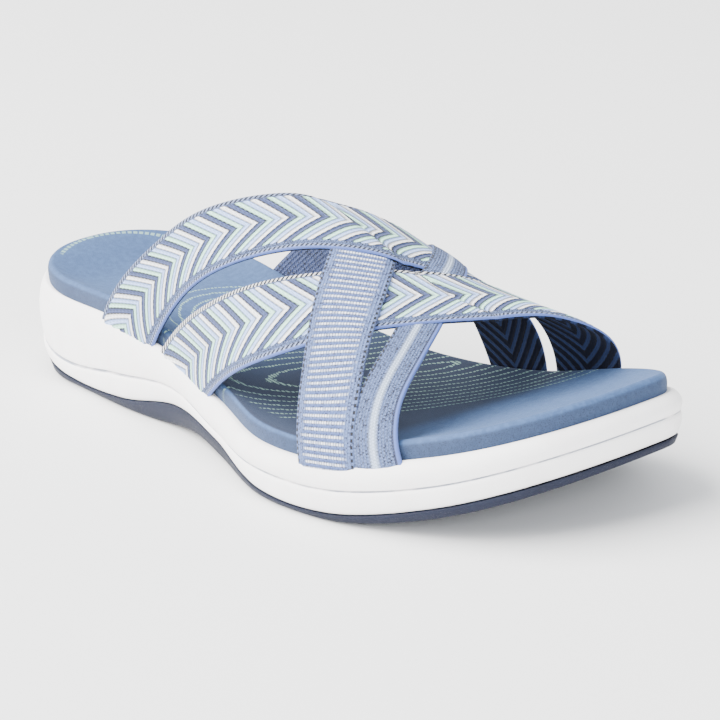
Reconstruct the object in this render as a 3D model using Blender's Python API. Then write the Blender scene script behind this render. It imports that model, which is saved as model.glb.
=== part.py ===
"""A cross-strap slide sandal for the right foot: outsole, midsole, footbed and a strap upper.

Lengths are in metres. +X points to the toe, +Y to the medial side and +Z up, with the floor at
zero. A station is a share of the length, 0 at the heel and 1 at the toe. A turn is a share of
the way around the instep, 0 at the lateral edge and 1 at the medial edge.
"""
import math
from collections import namedtuple

import bmesh
import bpy
from mathutils import Vector

MM = 0.001

# Driving sizes
LENGTH = 262 * MM
BALL_WIDTH = 86.5 * MM
HEEL_HEIGHT = 35 * MM
INSTEP_HEIGHT = 65 * MM
TOE_SWING = 24 * MM
TOE_SPRING = 19 * MM
ARCH_LIFT = 2.5 * MM
HEEL_LIFT = 2 * MM
HEEL_ROUND = 31 * MM
TOE_ROUND = 50 * MM
WALL_BULGE = 3.4 * MM
RIM_RISE = 5.5 * MM
DISH_DEPTH = 6 * MM
ARCH_PAD = 3 * MM
STRAP_THICKNESS = 1.8 * MM
SLOT_DEPTH = 5 * MM
WEAVE_STEP = 0.75 * MM
STRAP_SAG = 2.2 * MM
TREAD_DEPTH = 1.8 * MM
TREAD_WIDTH = 3.2 * MM
TREAD_PITCH = 10.5 * MM
TREAD_BORDER = 8 * MM
CLEARANCE = 0.3 * MM

# How finely the surfaces are cut
OUTLINE_STEPS = 44
SURFACE_COLUMNS = 6
STRAP_STEPS = 34
STRAP_COLUMNS = 3
SLOT_ROWS = 6
ROUND_STEPS = 6

# The sole at each station: half widths as shares of the ball width, heights as shares of the heel
Section = namedtuple("Section", "station lateral medial rim groove seam")
SECTIONS = [
    Section(0.00, 0.338, 0.363, 1.000, 0.469, 0.283),
    Section(0.12, 0.334, 0.399, 0.911, 0.257, 0.086),
    Section(0.25, 0.362, 0.354, 0.911, 0.371, 0.120),
    Section(0.38, 0.375, 0.342, 0.751, 0.463, 0.283),
    Section(0.50, 0.455, 0.343, 0.597, 0.340, 0.226),
    Section(0.62, 0.560, 0.382, 0.531, 0.306, 0.086),
    Section(0.74, 0.543, 0.455, 0.557, 0.320, 0.092),
    Section(0.87, 0.437, 0.538, 0.749, 0.506, 0.300),
    Section(1.00, 0.416, 0.506, 1.029, 0.851, 0.643),
]

# The instep at each station: the crown's height as a share of the instep, its shift to the
# medial side as a share of the ball width
Instep = namedtuple("Instep", "station height shift")
INSTEP = [
    Instep(0.22, 0.985, -0.095),
    Instep(0.40, 0.985, -0.072),
    Instep(0.58, 0.862, 0.080),
    Instep(0.76, 0.565, 0.070),
    Instep(0.92, 0.280, 0.064),
]

# The stations of each strap's two edges at each turn, its level, 1 over and -1 under, and its sag
TURNS = (0.0, 0.15, 0.32, 0.50, 0.59, 0.68, 0.85, 1.0)
Strap = namedtuple("Strap", "rear front level sag")
STRAPS = {
    "rear_chevron": Strap(
        rear=(0.212, 0.332, 0.437, 0.531, 0.573, 0.610, 0.652, 0.680),
        front=(0.327, 0.438, 0.561, 0.678, 0.716, 0.739, 0.752, 0.750),
        level=(0.0, 0.0, 0.5, 0.8, 0.0, -0.6, -0.2, 0.0),
        sag=(0.0, 0.0, 0.0, 0.0, 0.0, 0.0, 0.0, 0.0)),
    "front_chevron": Strap(
        rear=(0.340, 0.479, 0.607, 0.692, 0.728, 0.753, 0.768, 0.764),
        front=(0.467, 0.625, 0.728, 0.812, 0.842, 0.860, 0.864, 0.846),
        level=(0.0, -0.2, -1.0, 1.0, 0.8, 0.5, 0.0, 0.0),
        sag=(0.0, 0.0, 0.0, 0.0, 0.0, 0.1, 0.1, 0.0)),
    "ribbed": Strap(
        rear=(0.703, 0.684, 0.629, 0.572, 0.545, 0.508, 0.380, 0.240),
        front=(0.786, 0.770, 0.723, 0.665, 0.638, 0.602, 0.480, 0.342),
        level=(1.0, 1.0, 1.0, -1.0, -1.2, -1.0, -0.2, 0.0),
        sag=(0.0, 0.0, 0.0, 0.0, 0.5, 1.0, 0.3, 0.0)),
    "narrow": Strap(
        rear=(0.782, 0.766, 0.743, 0.697, 0.664, 0.622, 0.505, 0.366),
        front=(0.847, 0.821, 0.792, 0.749, 0.718, 0.676, 0.560, 0.412),
        level=(0.5, 0.3, -0.5, -1.0, 1.2, 1.4, 0.5, 0.0),
        sag=(0.0, 0.0, 0.0, 0.0, 0.0, 0.0, 0.0, 0.0)),
}

# How round the instep's section is on each side: across, and up
LATERAL_ROUND = (1.67, 2.51)
MEDIAL_ROUND = (2.44, 2.15)

# The midsole's side wall from seam to rim: the band, the share of its height and of the bulge
Wall = namedtuple("Wall", "band share bulge")
MIDSOLE_WALL = [
    Wall("lower", 0.00, 0.35),
    Wall("lower", 0.20, 0.68),
    Wall("lower", 0.60, 0.88),
    Wall("lower", 0.96, 0.88),
    Wall("upper", 0.00, 0.66),
    Wall("upper", 0.14, 0.90),
    Wall("upper", 0.45, 1.00),
    Wall("upper", 0.76, 0.78),
    Wall("upper", 0.94, 0.38),
    Wall("upper", 1.00, 0.03),
]

# The footbed's edge from its underside up: height above the rim, inset from the outline
Edge = namedtuple("Edge", "rise inset")
FOOTBED_EDGE = [
    Edge(0.3 * MM, 2.0 * MM),
    Edge(1.2 * MM, 1.0 * MM),
    Edge(3.4 * MM, 1.0 * MM),
    Edge(4.8 * MM, 1.6 * MM),
    Edge(RIM_RISE, 2.8 * MM),
]

# The outsole's edge from the floor up: share of its height, bulge from the outline
Tread = namedtuple("Tread", "share bulge")
OUTSOLE_EDGE = [
    Tread(0.00, -0.6 * MM),
    Tread(0.25, 0.9 * MM),
    Tread(1.00, 1.9 * MM),
]

# Where the sole rests flat, in stations
HEEL_FLAT = (0.06, 0.29)
BALL_FLAT = (0.55, 0.72)


def curve(stations, values, station):
    """A smooth curve through a table's values."""
    station = min(max(station, stations[0]), stations[-1])
    last = len(stations) - 1
    slopes = [0.0] * (last + 1)
    steps = [(values[i + 1] - values[i]) / (stations[i + 1] - stations[i]) for i in range(last)]
    for i in range(1, last):
        before = stations[i] - stations[i - 1]
        after = stations[i + 1] - stations[i]
        slopes[i] = (steps[i - 1] * after + steps[i] * before) / (before + after)
    slopes[0] = 1.5 * steps[0] - 0.5 * slopes[1]
    slopes[last] = 1.5 * steps[-1] - 0.5 * slopes[last - 1]
    i = 0
    while i < last - 1 and station >= stations[i + 1]:
        i += 1
    gap = stations[i + 1] - stations[i]
    t = (station - stations[i]) / gap
    return (values[i] * (2 * t**3 - 3 * t**2 + 1) + slopes[i] * gap * (t**3 - 2 * t**2 + t)
            + values[i + 1] * (3 * t**2 - 2 * t**3) + slopes[i + 1] * gap * (t**3 - t**2))


def section(name, station):
    """A column of the sole's table, read at any station."""
    return curve([row.station for row in SECTIONS], [getattr(row, name) for row in SECTIONS], station)


def ease(t):
    """A smooth step from 0 to 1."""
    t = min(max(t, 0.0), 1.0)
    return t * t * (3 - 2 * t)


def rounding(station):
    """The share of the full width that the rounded heel and toe leave."""
    heel = max(1 - station * LENGTH / HEEL_ROUND, 0.0)
    toe = max(1 - (1 - station) * LENGTH / TOE_ROUND, 0.0)
    return (1 - heel**2.2) ** (1 / 2.2) * (1 - toe**2.3) ** (1 / 2.3)


def sides(station):
    """The lateral and medial edges of the footbed's outline."""
    swing = TOE_SWING * ease((station - 0.6) / 0.4)
    width = rounding(station)
    lateral = swing - (BALL_WIDTH * section("lateral", station) + swing) * width
    medial = swing + (BALL_WIDTH * section("medial", station) - swing) * width
    return lateral, medial


def rim_height(station):
    return HEEL_HEIGHT * section("rim", station)


def groove_height(station):
    return HEEL_HEIGHT * section("groove", station)


def seam_height(station):
    return HEEL_HEIGHT * section("seam", station)


def floor_height(station):
    """The underside: flat under heel and ball, lifted at the arch, the heel's back and the toe."""
    waist = (station - HEEL_FLAT[1]) / (BALL_FLAT[0] - HEEL_FLAT[1])
    arch = ARCH_LIFT * math.sin(math.pi * min(max(waist, 0.0), 1.0)) ** 2
    toe = TOE_SPRING * max(station - BALL_FLAT[1], 0.0) ** 1.7 / (1 - BALL_FLAT[1]) ** 1.7
    heel = HEEL_LIFT * max(1 - station / HEEL_FLAT[0], 0.0) ** 2
    return arch + toe + heel


def outline_turns():
    """Station and side of each point around the sole, from the heel past the lateral side."""
    turns = []
    for i in range(2 * OUTLINE_STEPS):
        angle = math.pi * i / OUTLINE_STEPS
        turns.append(((1 - math.cos(angle)) / 2, 0 if i < OUTLINE_STEPS else 1))
    return turns


TURNS_AROUND = outline_turns()


def plain_outline():
    points = []
    for station, side in TURNS_AROUND:
        points.append(Vector(((station - 0.5) * LENGTH, sides(station)[side], 0.0)))
    return points


PLAIN = plain_outline()


def outward(index):
    """The outline's outward direction at one of its points."""
    along = PLAIN[(index + 1) % len(PLAIN)] - PLAIN[index - 1]
    return Vector((along.y, -along.x, 0.0)).normalized()


def outline(offset):
    """The outline moved outwards by an offset."""
    return [point + outward(i) * offset for i, point in enumerate(PLAIN)]


def middle():
    """The point of the sole's plan that the origin goes to."""
    widest = outline(WALL_BULGE)
    xs = [point.x for point in widest]
    ys = [point.y for point in widest]
    return Vector(((max(xs) + min(xs)) / 2, (max(ys) + min(ys)) / 2, 0.0))


MIDDLE = middle()


def ring(offset, height):
    """A closed ring of points: an offset outline at the height that a function gives."""
    points = []
    for (station, _), point in zip(TURNS_AROUND, outline(offset)):
        points.append(Vector((point.x, point.y, height(station))) - MIDDLE)
    return points


def add_ring(mesh, points):
    return [mesh.verts.new(point) for point in points]


def join_rings(mesh, lower, upper):
    """The wall between two rings, facing outwards."""
    count = len(lower)
    for i in range(count):
        following = (i + 1) % count
        mesh.faces.new((lower[i], lower[following], upper[following], upper[i]))


def cap(mesh, edge, height, upwards):
    """A surface inside a ring: rows from the lateral to the medial side, at a given height."""
    count = len(edge)
    half = count // 2
    rows = []
    for i in range(1, half):
        lateral, medial = edge[i], edge[count - i]
        row = [lateral]
        for k in range(1, SURFACE_COLUMNS):
            across = 2 * k / SURFACE_COLUMNS - 1
            point = lateral.co.lerp(medial.co, k / SURFACE_COLUMNS)
            point.z = height(TURNS_AROUND[i][0], across)
            row.append(mesh.verts.new(point))
        row.append(medial)
        rows.append(row)
    faces = []
    for k in range(SURFACE_COLUMNS):
        faces.append((edge[0], rows[0][k], rows[0][k + 1]))
        faces.append((rows[-1][k], edge[half], rows[-1][k + 1]))
        for before, after in zip(rows, rows[1:]):
            faces.append((before[k], after[k], after[k + 1], before[k + 1]))
    for face in faces:
        mesh.faces.new(face if upwards else tuple(reversed(face)))


def dish(station, across):
    """How far the foot's bed lies below the rim, with the arch pad on the medial side."""
    depth = DISH_DEPTH * (1.0 - 0.55 * ease((station - 0.25) / 0.35))
    pad = ARCH_PAD * math.exp(-((station - 0.42) / 0.12) ** 2) * max(across, 0.0) ** 2
    ends = ease(station * LENGTH / HEEL_ROUND) * ease((1 - station) * LENGTH / TOE_ROUND)
    return (depth - pad) * (1 - across**4) * ends


def midsole_top(station, across):
    return rim_height(station) - dish(station, across)


def footbed_bottom(station, across):
    return midsole_top(station, across) + CLEARANCE


def footbed_top(station, across):
    return rim_height(station) + RIM_RISE - 0.75 * dish(station, across)


def material(name, colour, roughness):
    made = bpy.data.materials.new(name)
    made.use_nodes = True
    shader = made.node_tree.nodes["Principled BSDF"]
    shader.inputs["Base Color"].default_value = (*colour, 1.0)
    shader.inputs["Roughness"].default_value = roughness
    shader.inputs["Metallic"].default_value = 0.0
    return made


def add_object(name, mesh, finish=None):
    """An object from a bmesh; without a finish it is a hidden cutter or operand."""
    data = bpy.data.meshes.new(name)
    mesh.to_mesh(data)
    mesh.free()
    made = bpy.data.objects.new(name, data)
    bpy.context.scene.collection.objects.link(made)
    if finish:
        data.materials.append(finish)
    else:
        made.hide_render = True
        made.display_type = "WIRE"
    return made


def add_boolean(target, operand, operation):
    modifier = target.modifiers.new(operand.name, "BOOLEAN")
    modifier.operation = operation
    modifier.solver = "EXACT"
    modifier.object = operand


def make_midsole():
    mesh = bmesh.new()
    rings = []
    for row in MIDSOLE_WALL:
        def height(station, row=row):
            low, high = seam_height(station), groove_height(station)
            if row.band == "upper":
                low, high = groove_height(station), rim_height(station)
            return low + (high - low) * row.share
        rings.append(add_ring(mesh, ring(WALL_BULGE * row.bulge, height)))
    for lower, upper in zip(rings, rings[1:]):
        join_rings(mesh, lower, upper)
    cap(mesh, rings[-1], midsole_top, True)
    cap(mesh, rings[0], lambda station, across: seam_height(station), False)
    return add_object("midsole", mesh, material("midsole_foam", (0.90, 0.89, 0.88), 0.6))


def make_footbed():
    mesh = bmesh.new()
    rings = []
    for row in FOOTBED_EDGE:
        def height(station, row=row):
            return rim_height(station) + row.rise
        rings.append(add_ring(mesh, ring(-row.inset, height)))
    for lower, upper in zip(rings, rings[1:]):
        join_rings(mesh, lower, upper)
    cap(mesh, rings[-1], footbed_top, True)
    cap(mesh, rings[0], footbed_bottom, False)
    return add_object("footbed", mesh, material("footbed_suede", (0.20, 0.31, 0.46), 0.85))


def make_outsole():
    mesh = bmesh.new()
    rings = []
    for row in OUTSOLE_EDGE:
        def height(station, row=row):
            low, high = floor_height(station), seam_height(station) - CLEARANCE
            return low + (high - low) * row.share
        rings.append(add_ring(mesh, ring(row.bulge, height)))
    for lower, upper in zip(rings, rings[1:]):
        join_rings(mesh, lower, upper)
    cap(mesh, rings[-1], lambda station, across: seam_height(station) - CLEARANCE, True)
    cap(mesh, rings[0], lambda station, across: floor_height(station), False)
    return add_object("outsole", mesh, material("outsole_rubber", (0.14, 0.17, 0.25), 0.7))


def tread_groove(name, station):
    """A cutter for one transverse groove with round ends, following the underside."""
    lateral, medial = sides(station)
    low = lateral + TREAD_BORDER - MIDDLE.y
    high = medial - TREAD_BORDER - MIDDLE.y
    x = (station - 0.5) * LENGTH - MIDDLE.x
    radius = TREAD_WIDTH / 2
    mesh = bmesh.new()
    profile = []
    for end, start in ((high, 0.0), (low, math.pi)):
        for k in range(ROUND_STEPS + 1):
            angle = start + math.pi * k / ROUND_STEPS
            profile.append((x + radius * math.cos(angle), end + radius * math.sin(angle)))
    base = floor_height(station) - TREAD_DEPTH
    verts = [mesh.verts.new((px, py, base)) for px, py in profile]
    bottom = mesh.faces.new(verts)
    raised = bmesh.ops.extrude_face_region(mesh, geom=[bottom])["geom"]
    moved = [item for item in raised if isinstance(item, bmesh.types.BMVert)]
    bmesh.ops.translate(mesh, verts=moved, vec=(0, 0, 2 * TREAD_DEPTH))
    bmesh.ops.recalc_face_normals(mesh, faces=mesh.faces[:])
    return add_object(name, mesh)


def tread_stations():
    """Stations of the tread's grooves, a pitch apart on each flat and up the toe."""
    stations = []
    for first, final in ((HEEL_FLAT[0] + 0.02, HEEL_FLAT[1]), (BALL_FLAT[0], 0.88)):
        count = int((final - first) * LENGTH / TREAD_PITCH)
        stations += [first + k * TREAD_PITCH / LENGTH for k in range(count + 1)]
    return stations


def instep_point(station, turn):
    """A point of the instep that the straps lie on, in the middle of their thickness."""
    lateral, medial = sides(station)
    lateral -= STRAP_THICKNESS / 2
    medial += STRAP_THICKNESS / 2
    stations = [row.station for row in INSTEP]
    crown = INSTEP_HEIGHT * curve(stations, [row.height for row in INSTEP], station) + SLOT_DEPTH
    shift = BALL_WIDTH * curve(stations, [row.shift for row in INSTEP], station)
    across, upwards = LATERAL_ROUND if turn < 0.5 else MEDIAL_ROUND
    cosine = math.cos(math.pi * turn)
    sine = max(math.sin(math.pi * turn), 0.0)
    y = (lateral + medial) / 2 + shift * sine**2
    y -= (medial - lateral) / 2 * math.copysign(abs(cosine) ** (2 / across), cosine)
    z = rim_height(station) - SLOT_DEPTH + crown * sine ** (2 / upwards)
    return Vector(((station - 0.5) * LENGTH, y, z)) - MIDDLE


def instep_normal(station, turn):
    """The instep's outward direction."""
    step = 0.004
    low, high = max(turn - step, 0.0), min(turn + step, 1.0)
    around = instep_point(station, high) - instep_point(station, low)
    along = instep_point(station + step, turn) - instep_point(station - step, turn)
    return along.cross(around).normalized()


def strap_point(strap, turn, across, lift):
    """A point of a strap: across from its rear to its front edge, lifted off its middle."""
    rear = curve(TURNS, strap.rear, turn)
    front = curve(TURNS, strap.front, turn)
    station = rear + (front - rear) * across
    lift += WEAVE_STEP * curve(TURNS, strap.level, turn) - STRAP_SAG * curve(TURNS, strap.sag, turn)
    return instep_point(station, turn) + instep_normal(station, turn) * lift


def ribbon(name, strap, first, final, grow, finish=None):
    """A strap between two of its rows as a closed band, or the room that it needs when grown."""
    mesh = bmesh.new()
    rows = []
    half = STRAP_THICKNESS / 2 + grow
    for j in range(first, final + 1):
        turn = (1 - math.cos(math.pi * j / STRAP_STEPS)) / 2
        row = []
        for side in (-1, 1):
            columns = range(STRAP_COLUMNS + 1)
            for k in (columns if side < 0 else reversed(columns)):
                point = strap_point(strap, turn, k / STRAP_COLUMNS, half * side)
                if k in (0, STRAP_COLUMNS):
                    point.x += 2 * grow if k else -2 * grow
                if j in (0, STRAP_STEPS):
                    point.z -= grow
                row.append(mesh.verts.new(point))
        rows.append(row)
    for before, after in zip(rows, rows[1:]):
        join_rings(mesh, before, after)
    for row in (rows[0], rows[-1]):
        for k in range(STRAP_COLUMNS):
            mesh.faces.new((row[k], row[k + 1], row[-k - 2], row[-k - 1]))
    bmesh.ops.recalc_face_normals(mesh, faces=mesh.faces[:])
    return add_object(name, mesh, finish)


def make_upper():
    """The four straps, joined where they cross."""
    finish = material("strap_webbing", (0.40, 0.47, 0.62), 0.8)
    names = list(STRAPS)
    upper = ribbon("upper", STRAPS[names[0]], 0, STRAP_STEPS, 0.0, finish)
    for name in names[1:]:
        add_boolean(upper, ribbon("strap_" + name, STRAPS[name], 0, STRAP_STEPS, 0.0), "UNION")
    return upper


def cut_slots(midsole):
    """Slots in the midsole's rim for the straps' ends."""
    for name, strap in STRAPS.items():
        for end, first in (("lateral", 0), ("medial", STRAP_STEPS - SLOT_ROWS)):
            cutter = ribbon("slot_" + name + "_" + end, strap, first, first + SLOT_ROWS, CLEARANCE)
            add_boolean(midsole, cutter, "DIFFERENCE")


def cut_tread(outsole):
    for number, station in enumerate(tread_stations()):
        add_boolean(outsole, tread_groove("groove_" + str(number), station), "DIFFERENCE")


def main():
    for old in list(bpy.data.objects):
        bpy.data.objects.remove(old, do_unlink=True)
    cut_tread(make_outsole())
    cut_slots(make_midsole())
    make_footbed()
    make_upper()


main()
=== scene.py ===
"""Dresses the cross-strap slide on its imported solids: webbing straps, printed suede footbed,
foam midsole and rubber outsole, with a pale floor, soft lights and the camera.

Lengths are in metres, unless a name or a comment says millimetres. +X points to the toe, +Y to
the medial side and +Z up. A station is a share of the length from heel to toe, and a turn is a
share of the way around the instep from the lateral to the medial edge.
"""
import math
from collections import namedtuple
from functools import partialmethod

import bmesh
import bpy
import numpy as np
from mathutils import Matrix, Vector


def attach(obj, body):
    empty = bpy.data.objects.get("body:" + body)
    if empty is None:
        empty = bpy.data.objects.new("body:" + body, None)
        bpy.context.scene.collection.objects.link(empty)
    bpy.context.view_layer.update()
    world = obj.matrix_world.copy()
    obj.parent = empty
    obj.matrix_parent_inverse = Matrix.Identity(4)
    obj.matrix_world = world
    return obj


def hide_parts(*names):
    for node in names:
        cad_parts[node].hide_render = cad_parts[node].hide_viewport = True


bl_info = {
    "name": "Cross-Strap Slide",
    "version": (1, 0, 0),
    "blender": (4, 5, 0),
    "location": "View3D > Sidebar > Slide",
    "description": "Builds the straps, footbed, midsole, outsole and stage of a slide sandal",
    "category": "Object",
}

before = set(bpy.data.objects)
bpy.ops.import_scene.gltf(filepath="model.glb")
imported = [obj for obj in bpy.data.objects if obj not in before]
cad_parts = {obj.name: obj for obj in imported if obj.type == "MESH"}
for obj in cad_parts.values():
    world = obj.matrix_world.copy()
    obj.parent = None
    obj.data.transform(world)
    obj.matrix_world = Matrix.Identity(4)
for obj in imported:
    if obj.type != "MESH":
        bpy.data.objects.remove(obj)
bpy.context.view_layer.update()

MM = 0.001

# The shoe's sizes, as in the part's source
LENGTH = 262 * MM
BALL_WIDTH = 86.5 * MM
HEEL_HEIGHT = 35 * MM
INSTEP_HEIGHT = 65 * MM
TOE_SWING = 24 * MM
TOE_SPRING = 19 * MM
ARCH_LIFT = 2.5 * MM
HEEL_LIFT = 2 * MM
HEEL_ROUND = 31 * MM
TOE_ROUND = 50 * MM
WALL_BULGE = 3.4 * MM
RIM_RISE = 5.5 * MM
DISH_DEPTH = 6 * MM
ARCH_PAD = 3 * MM
STRAP_THICKNESS = 1.8 * MM
SLOT_DEPTH = 5 * MM
WEAVE_STEP = 0.75 * MM
STRAP_SAG = 2.2 * MM
TREAD_ROUND = 0.8 * MM
CLEARANCE = 0.3 * MM

# The sole at each station: half widths as shares of the ball width, heights as shares of the heel
Section = namedtuple("Section", "station lateral medial rim groove seam")
SECTIONS = Section(
    station=(0.00, 0.12, 0.25, 0.38, 0.50, 0.62, 0.74, 0.87, 1.00),
    lateral=(0.338, 0.334, 0.362, 0.375, 0.455, 0.560, 0.543, 0.437, 0.416),
    medial=(0.363, 0.399, 0.354, 0.342, 0.343, 0.382, 0.455, 0.538, 0.506),
    rim=(1.000, 0.911, 0.911, 0.751, 0.597, 0.531, 0.557, 0.749, 1.029),
    groove=(0.469, 0.257, 0.371, 0.463, 0.340, 0.306, 0.320, 0.506, 0.851),
    seam=(0.283, 0.086, 0.120, 0.283, 0.226, 0.086, 0.092, 0.300, 0.643))

# The instep's crown: height as a share of the instep, shift as a share of the ball width
Instep = namedtuple("Instep", "station height shift")
INSTEP = Instep(
    station=(0.22, 0.40, 0.58, 0.76, 0.92),
    height=(0.985, 0.985, 0.862, 0.565, 0.280),
    shift=(-0.095, -0.072, 0.080, 0.070, 0.064))

# The stations of each strap's two edges at each turn, and its sag. Its level at each turn of the
# weave, 1 over and -1 under, is told more finely than in the part, so no corner pokes through.
TURNS = (0.0, 0.15, 0.32, 0.50, 0.59, 0.68, 0.85, 1.0)
WEAVE_TURNS = (0.0, 0.15, 0.32, 0.40, 0.46, 0.49, 0.525, 0.57, 0.62, 0.68, 0.85, 1.0)
NO_SAG = (0.0,) * len(TURNS)
Strap = namedtuple("Strap", "rear front level sag")
STRAPS = {
    "rear_chevron": Strap(
        rear=(0.212, 0.332, 0.437, 0.531, 0.573, 0.610, 0.652, 0.680),
        front=(0.327, 0.438, 0.561, 0.678, 0.716, 0.739, 0.752, 0.750),
        level=(0.0, 0.0, 0.8, 1.7, 2.1, 1.6, -0.2, -0.6, -0.6, -0.6, -0.2, 0.0),
        sag=NO_SAG),
    "front_chevron": Strap(
        rear=(0.340, 0.479, 0.607, 0.692, 0.728, 0.753, 0.768, 0.764),
        front=(0.467, 0.625, 0.728, 0.812, 0.842, 0.860, 0.864, 0.846),
        level=(0.0, -0.2, -1.0, -1.0, -0.5, 0.3, 1.0, 1.5, 1.0, 0.6, 0.0, 0.0),
        sag=(0.0, 0.0, 0.0, 0.0, 0.0, 0.1, 0.1, 0.0)),
    "ribbed": Strap(
        rear=(0.703, 0.684, 0.629, 0.572, 0.545, 0.508, 0.380, 0.240),
        front=(0.786, 0.770, 0.723, 0.665, 0.638, 0.602, 0.480, 0.342),
        level=(1.0, 1.0, 1.0, 0.9, 0.4, -0.3, -0.9, -1.2, -1.2, -1.0, -0.2, 0.0),
        sag=(0.0, 0.0, 0.0, 0.0, 0.5, 1.0, 0.3, 0.0)),
    "narrow": Strap(
        rear=(0.782, 0.766, 0.743, 0.697, 0.664, 0.622, 0.505, 0.366),
        front=(0.847, 0.821, 0.792, 0.749, 0.718, 0.676, 0.560, 0.412),
        level=(0.5, 0.2, -1.9, -2.1, -1.8, -1.4, 0.1, 0.9, 1.3, 1.4, 0.5, 0.0),
        sag=NO_SAG),
}

# How round the instep's section is on each side: across, and up
LATERAL_ROUND = (1.67, 2.51)
MEDIAL_ROUND = (2.44, 2.15)

# A strap's section in millimetres from its rear edge: the outer face's lift off its middle.
# Places past the middle are told from the front edge, as negative numbers.
Webbing = namedtuple("Webbing", "width face")
CHEVRON_WEBBING = Webbing(28.0, (
    (0.0, 0.00), (0.15, 0.40), (0.5, 0.58), (1.2, 0.60), (1.7, 0.50), (2.1, 0.62), (2.6, 0.92),
    (-3.5, 0.92), (-3.0, 0.66), (-2.1, 0.62), (-1.9, 0.50), (-1.4, 0.64), (-1.0, 0.52),
    (-0.75, 0.66), (-0.35, 0.62), (-0.1, 0.35), (0.0, 0.00)))
RIBBED_WEBBING = Webbing(22.0, (
    (0.0, 0.00), (0.2, 0.45), (0.6, 0.62), (1.1, 0.58), (2.6, 0.80),
    (-2.6, 0.80), (-1.1, 0.58), (-0.6, 0.62), (-0.2, 0.45), (0.0, 0.00)))
NARROW_WEBBING = Webbing(14.0, (
    (0.0, 0.00), (0.2, 0.50), (0.6, 0.66), (1.1, 0.60), (4.0, 0.90), (7.0, 1.00),
    (-3.5, 0.90), (-1.4, 0.60), (-1.1, 0.48), (-0.8, 0.62), (-0.4, 0.60), (-0.1, 0.35),
    (0.0, 0.00)))

# The chevrons' slanted rows: how far along a strap they repeat in millimetres, their slope, the
# apex as a share of the width, and the rows of yarn in a repeat
CHEVRON_PERIOD = 10.15
CHEVRON_SLOPE = 1.05
CHEVRON_APEX = 0.48
CHEVRON_BANDS = 4

# Pitches of the yarns and stitches, and the reliefs modelled on the straps, in millimetres
YARN_PITCH = 0.95
FINE_YARN_PITCH = 0.9
COARSE_YARN_PITCH = 1.5
TWIST_PITCH = 1.5
STITCH_PITCH = 1.9
TICK_PITCH = 1.6
TICK_SLANT = 0.7
ROPE_RELIEF = 0.22
RIB_RELIEF = 0.20
LOOP_RELIEF = 0.04
STRAP_STEP = 0.4

# Where a strap's details begin and are full, in millimetres from the nearer edge
CHEVRON_FIELD_REAR = (2.65, 2.95)
CHEVRON_FIELD_FRONT = (3.9, 4.2)
WHIP_REAR = (1.75, 1.5)
WHIP_FRONT = (2.1, 1.9)
ROLL_REAR = (0.3, 0.2)
ROLL_FRONT = (0.95, 0.8)
RIB_FIELD_REAR = (1.6, 3.4)
RIB_FIELD_FRONT = (1.8, 3.6)
NARROW_ROLL = (1.1, 0.95)
NARROW_LINE = ((1.7, 1.45), (0.95, 1.1))
STITCH_LINE = ((0.25, 0.40), (1.15, 1.0))

# The midsole's wall from seam to rim: the band, the share of its height and of the bulge
Wall = namedtuple("Wall", "band share bulge")
LOWER_WALL = ((0.00, 0.30), (0.05, 0.46), (0.20, 0.68), (0.40, 0.82), (0.60, 0.89),
              (0.80, 0.91), (0.93, 0.88), (0.97, 0.76), (1.00, 0.42))
UPPER_WALL = ((0.010, 0.42), (0.035, 0.74), (0.07, 0.84), (0.14, 0.90), (0.28, 0.97),
              (0.45, 1.00), (0.62, 0.92), (0.76, 0.76), (0.86, 0.58), (0.94, 0.36),
              (0.985, 0.16), (1.00, 0.03))
MIDSOLE_WALL = ([Wall("lower", *row) for row in LOWER_WALL]
                + [Wall("upper", *row) for row in UPPER_WALL])
# The wall's rows at the groove, which get painted shade in its crease
GROOVE_SHADE_ROWS = range(len(LOWER_WALL) - 2, len(LOWER_WALL) + 1)

# The footbed's edge, tucked behind the foam's rim: height above the rim, inset, in millimetres
Edge = namedtuple("Edge", "rise inset")
FOOTBED_EDGE = [Edge(*row) for row in (
    (-1.4, 1.15), (0.0, 1.0), (1.2, 0.95), (2.4, 0.90), (3.4, 1.00), (4.2, 1.22), (4.8, 1.55),
    (5.25, 2.05), (5.5, 2.80))]

# The outsole's edge from the floor up: share of its height, bulge from the outline in mm
Tread = namedtuple("Tread", "share bulge")
OUTSOLE_EDGE = [Tread(*row) for row in (
    (0.00, -0.6), (0.05, -0.1), (0.14, 0.45), (0.25, 0.90), (0.60, 1.40), (0.94, 1.85),
    (1.00, 1.60))]

# Where the sole rests flat, in stations
HEEL_FLAT = (0.06, 0.29)
BALL_FLAT = (0.55, 0.72)

# The photographed view: its angles in degrees, the camera's distance, and the height that it
# was fitted around
VIEW_AZIMUTH = 52.455
VIEW_ELEVATION = 19.685
VIEW_ROLL = 4.261
VIEW_DISTANCE = 0.9
VIEW_HEIGHT = 20 * MM

# The photograph's fitted focal length in its own pixels, where the origin falls in it, the pixel
# at the middle of the shoe, and its side
PHOTO_FOCAL = 2227.55
PHOTO_ORIGIN = (-108.115, 79.967)
PHOTO_AIM = (287.0, 431.0)
PHOTO_SIZE = 720

# The studio's lights, and the point that they face
Light = namedtuple("Light", "place size tint")
SKY_TINT = (0.93, 0.96, 1.0)
KEY_LIGHT = Light((-0.75, -1.05, 1.5), 2.2, (1.0, 0.985, 0.96))
FILL_LIGHT = Light((1.3, -0.9, 0.45), 1.0, SKY_TINT)
LIT_POINT = (0.0, 0.0, 0.03)

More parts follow.
